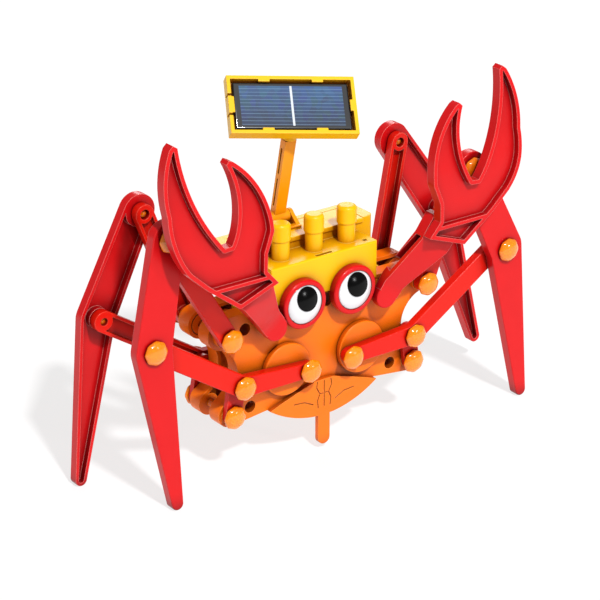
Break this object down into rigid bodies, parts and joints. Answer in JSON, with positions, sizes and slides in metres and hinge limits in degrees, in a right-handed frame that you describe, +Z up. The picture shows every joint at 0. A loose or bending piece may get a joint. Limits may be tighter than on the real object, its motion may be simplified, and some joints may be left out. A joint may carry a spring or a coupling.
{
  "type": "solar walking robot",
  "caption": "Crab-shaped walking toy with crank-driven jointed legs, raised pincers, round eyes and a tilting solar panel on a mast.",
  "frame": {"origin": "middle of the overall box, on the ground under the feet", "axes": "+Z up, the face looks along -Y, +X across the legs"},
  "size_m": [0.2089, 0.0588, 0.157],
  "materials": {
    "shell_orange": "orange moulded plastic, satin gloss",
    "leg_red": "red moulded plastic, glossy",
    "link_red": "orange-red moulded plastic, glossy",
    "knob_orange": "slightly translucent orange plastic, glossy",
    "housing_yellow": "yellow moulded plastic, satin gloss",
    "cell_blue": "dark blue solar cell under clear resin",
    "eye_white": "white moulded plastic, glossy",
    "pupil_black": "black moulded plastic, glossy",
    "steel": "plain steel",
    "gear_white": "natural white acetal",
    "brass": "turned brass"
  },
  "bodies": {
    "chassis": {"front_shell": "shell_orange", "rear_shell": "shell_orange", "tail_flap": "shell_orange", "eye_pupils": "pupil_black", "shell_spacers": "steel", "shell_pivot_pins": "knob_orange", "housing": "housing_yellow", "housing_lid": "housing_yellow", "post_caps": "housing_yellow", "motor": "steel", "gear_axles": "steel", "mast_bracket": "housing_yellow", "mast_hinge_pin": "steel", "eye_ring_left": "link_red", "eye_ring_right": "link_red", "eye_white_left": "eye_white", "eye_white_right": "eye_white"},
    "crank_left": {"crank_shaft_left": "steel", "crank_gear_left": "gear_white", "crank_discs_left": "shell_orange", "crank_pins_left": "knob_orange"},
    "crank_right": {"crank_shaft_right": "steel", "crank_gear_right": "gear_white", "crank_discs_right": "shell_orange", "crank_pins_right": "knob_orange"},
    "centre_gear": {"centre_gear": "gear_white"},
    "reduction_gear": {"reduction_gear": "gear_white"},
    "motor_rotor": {"motor_shaft": "steel", "motor_pinion": "brass"},
    "lower_rocker_front_left": {"lower_rocker_front_left": "link_red"},
    "connecting_arm_front_left": {"connecting_arm_front_left": "link_red", "arm_pins_front_left": "knob_orange"},
    "leg_front_left": {"leg_front_left": "leg_red", "knee_pin_front_left": "knob_orange"},
    "upper_rocker_front_left": {"upper_rocker_front_left": "link_red"},
    "lower_rocker_front_right": {"lower_rocker_front_right": "link_red"},
    "connecting_arm_front_right": {"connecting_arm_front_right": "link_red", "arm_pins_front_right": "knob_orange"},
    "leg_front_right": {"leg_front_right": "leg_red", "knee_pin_front_right": "knob_orange"},
    "upper_rocker_front_right": {"upper_rocker_front_right": "link_red"},
    "lower_rocker_rear_left": {"lower_rocker_rear_left": "link_red"},
    "connecting_arm_rear_left": {"connecting_arm_rear_left": "link_red", "arm_pins_rear_left": "knob_orange"},
    "leg_rear_left": {"leg_rear_left": "leg_red", "knee_pin_rear_left": "knob_orange"},
    "upper_rocker_rear_left": {"upper_rocker_rear_left": "link_red"},
    "lower_rocker_rear_right": {"lower_rocker_rear_right": "link_red"},
    "connecting_arm_rear_right": {"connecting_arm_rear_right": "link_red", "arm_pins_rear_right": "knob_orange"},
    "leg_rear_right": {"leg_rear_right": "leg_red", "knee_pin_rear_right": "knob_orange"},
    "upper_rocker_rear_right": {"upper_rocker_rear_right": "link_red"},
    "mast": {"mast": "housing_yellow"},
    "panel": {"solar_frame": "housing_yellow", "solar_cell": "cell_blue"},
    "claw_arm_left": {"claw_arm_left": "leg_red"},
    "claw_left": {"claw_left": "leg_red"},
    "claw_arm_right": {"claw_arm_right": "leg_red"},
    "claw_right": {"claw_right": "leg_red"}
  },
  "joints": [
    {"name": "crank_spin_left", "type": "hinge", "parent": "chassis", "child": "crank_left", "pos_m": [-0.02224, 0.0038, 0.0411], "axis": [0, 1, 0], "range_deg": [-15, 15]},
    {"name": "crank_spin_right", "type": "hinge", "parent": "chassis", "child": "crank_right", "pos_m": [0.01516, 0.0038, 0.0411], "axis": [0, 1, 0], "range_deg": [-15, 15]},
    {"name": "centre_gear_spin", "type": "hinge", "parent": "chassis", "child": "centre_gear", "pos_m": [-0.00354, 0.0038, 0.0411], "axis": [0, 1, 0], "range_deg": [-15.02, 15.02]},
    {"name": "reduction_gear_spin", "type": "hinge", "parent": "chassis", "child": "reduction_gear", "pos_m": [-0.00354, 0.0038, 0.06065], "axis": [0, 1, 0], "range_deg": [-54.05, 54.05]},
    {"name": "motor_spin", "type": "hinge", "parent": "chassis", "child": "motor_rotor", "pos_m": [-0.00354, 0.0038, 0.0802], "axis": [0, 1, 0], "range_deg": [-194.59, 194.59]},
    {"name": "lower_rocker_turn_front_left", "type": "hinge", "parent": "chassis", "child": "lower_rocker_front_left", "pos_m": [-0.04884, -0.0082, 0.0277], "axis": [0, 1, 0], "range_deg": [-0.7, 0.7]},
    {"name": "arm_turn_front_left", "type": "hinge", "parent": "lower_rocker_front_left", "child": "connecting_arm_front_left", "pos_m": [-0.04647, -0.0082, 0.0414], "axis": [0, 1, 0], "range_deg": [-4.48, 4.48]},
    {"name": "leg_turn_front_left", "type": "hinge", "parent": "connecting_arm_front_left", "child": "leg_front_left", "pos_m": [-0.09105, -0.0082, 0.0708], "axis": [0, 1, 0], "range_deg": [-0.57, 0.57]},
    {"name": "upper_rocker_turn_front_left", "type": "hinge", "parent": "chassis", "child": "upper_rocker_front_left", "pos_m": [-0.05244, -0.0082, 0.0633], "axis": [0, 1, 0], "range_deg": [-4.71, 4.71]},
    {"name": "lower_rocker_turn_front_right", "type": "hinge", "parent": "chassis", "child": "lower_rocker_front_right", "pos_m": [0.04176, -0.0082, 0.0277], "axis": [0, 1, 0], "range_deg": [-0.57, 0.57]},
    {"name": "arm_turn_front_right", "type": "hinge", "parent": "lower_rocker_front_right", "child": "connecting_arm_front_right", "pos_m": [0.03938, -0.0082, 0.04139], "axis": [0, 1, 0], "range_deg": [-4.36, 4.36]},
    {"name": "leg_turn_front_right", "type": "hinge", "parent": "connecting_arm_front_right", "child": "leg_front_right", "pos_m": [0.0841, -0.0082, 0.07057], "axis": [0, 1, 0], "range_deg": [-0.2, 0.2]},
    {"name": "upper_rocker_turn_front_right", "type": "hinge", "parent": "chassis", "child": "upper_rocker_front_right", "pos_m": [0.04536, -0.0082, 0.0633], "axis": [0, 1, 0], "range_deg": [-5.22, 5.22]},
    {"name": "lower_rocker_turn_rear_left", "type": "hinge", "parent": "chassis", "child": "lower_rocker_rear_left", "pos_m": [-0.04884, 0.0158, 0.0277], "axis": [0, 1, 0], "range_deg": [-0.57, 0.57]},
    {"name": "arm_turn_rear_left", "type": "hinge", "parent": "lower_rocker_rear_left", "child": "connecting_arm_rear_left", "pos_m": [-0.04646, 0.0158, 0.04139], "axis": [0, 1, 0], "range_deg": [-4.36, 4.36]},
    {"name": "leg_turn_rear_left", "type": "hinge", "parent": "connecting_arm_rear_left", "child": "leg_rear_left", "pos_m": [-0.09119, 0.0158, 0.07057], "axis": [0, 1, 0], "range_deg": [-0.2, 0.2]},
    {"name": "upper_rocker_turn_rear_left", "type": "hinge", "parent": "chassis", "child": "upper_rocker_rear_left", "pos_m": [-0.05244, 0.0158, 0.0633], "axis": [0, 1, 0], "range_deg": [-5.22, 5.22]},
    {"name": "lower_rocker_turn_rear_right", "type": "hinge", "parent": "chassis", "child": "lower_rocker_rear_right", "pos_m": [0.04176, 0.0158, 0.0277], "axis": [0, 1, 0], "range_deg": [-4.3, 4.3]},
    {"name": "arm_turn_rear_right", "type": "hinge", "parent": "lower_rocker_rear_right", "child": "connecting_arm_rear_right", "pos_m": [0.04075, 0.0158, 0.04156], "axis": [0, 1, 0], "range_deg": [-7.36, 7.36]},
    {"name": "leg_turn_rear_right", "type": "hinge", "parent": "connecting_arm_rear_right", "child": "leg_rear_right", "pos_m": [0.08086, 0.0158, 0.07681], "axis": [0, 1, 0], "range_deg": [-0.52, 0.52]},
    {"name": "upper_rocker_turn_rear_right", "type": "hinge", "parent": "chassis", "child": "upper_rocker_rear_right", "pos_m": [0.04536, 0.0158, 0.0633], "axis": [0, 1, 0], "range_deg": [-3.59, 3.59]},
    {"name": "mast_tilt", "type": "hinge", "parent": "chassis", "child": "mast", "pos_m": [-0.00754, 0.0181, 0.0948], "axis": [1, 0, 0], "range_deg": [-25, 20]},
    {"name": "panel_swivel", "type": "hinge", "parent": "mast", "child": "panel", "pos_m": [-0.00754, 0.00997, 0.13089], "axis": [0, -0.2198, 0.9755], "range_deg": [-40, 40]},
    {"name": "claw_shoulder_left", "type": "hinge", "parent": "chassis", "child": "claw_arm_left", "pos_m": [-0.03114, -0.0112, 0.0632], "axis": [0, 1, 0], "range_deg": [-5, 5]},
    {"name": "claw_wrist_left", "type": "hinge", "parent": "claw_arm_left", "child": "claw_left", "pos_m": [-0.05154, -0.0212, 0.0912], "axis": [0, 1, 0], "range_deg": [-6, 6]},
    {"name": "claw_shoulder_right", "type": "hinge", "parent": "chassis", "child": "claw_arm_right", "pos_m": [0.02406, -0.0112, 0.0632], "axis": [0, 1, 0], "range_deg": [-5, 5]},
    {"name": "claw_wrist_right", "type": "hinge", "parent": "claw_arm_right", "child": "claw_right", "pos_m": [0.04446, -0.0212, 0.0912], "axis": [0, 1, 0], "range_deg": [-6, 6]}
  ],
  "couplings": [
    {"joint": "crank_spin_right", "follows": "crank_spin_left", "ratio": 1},
    {"joint": "centre_gear_spin", "follows": "crank_spin_left", "ratio": -1},
    {"joint": "reduction_gear_spin", "follows": "crank_spin_left", "ratio": 3.6},
    {"joint": "motor_spin", "follows": "crank_spin_left", "ratio": -12.96},
    {"joint": "lower_rocker_turn_front_left", "follows": "crank_spin_left", "ratio": -0.04651},
    {"joint": "arm_turn_front_left", "follows": "crank_spin_left", "ratio": 0.29834},
    {"joint": "leg_turn_front_left", "follows": "crank_spin_left", "ratio": -0.03776},
    {"joint": "upper_rocker_turn_front_left", "follows": "crank_spin_left", "ratio": 0.31346},
    {"joint": "lower_rocker_turn_front_right", "follows": "crank_spin_left", "ratio": -0.03823},
    {"joint": "arm_turn_front_right", "follows": "crank_spin_left", "ratio": 0.28986},
    {"joint": "leg_turn_front_right", "follows": "crank_spin_left", "ratio": -0.01014},
    {"joint": "upper_rocker_turn_front_right", "follows": "crank_spin_left", "ratio": 0.34762},
    {"joint": "lower_rocker_turn_rear_left", "follows": "crank_spin_left", "ratio": -0.03823},
    {"joint": "arm_turn_rear_left", "follows": "crank_spin_left", "ratio": 0.28986},
    {"joint": "leg_turn_rear_left", "follows": "crank_spin_left", "ratio": -0.01014},
    {"joint": "upper_rocker_turn_rear_left", "follows": "crank_spin_left", "ratio": 0.34762},
    {"joint": "lower_rocker_turn_rear_right", "follows": "crank_spin_left", "ratio": -0.2858},
    {"joint": "arm_turn_rear_right", "follows": "crank_spin_left", "ratio": 0.48979},
    {"joint": "leg_turn_rear_right", "follows": "crank_spin_left", "ratio": 0.03444},
    {"joint": "upper_rocker_turn_rear_right", "follows": "crank_spin_left", "ratio": 0.23877}
  ]
}
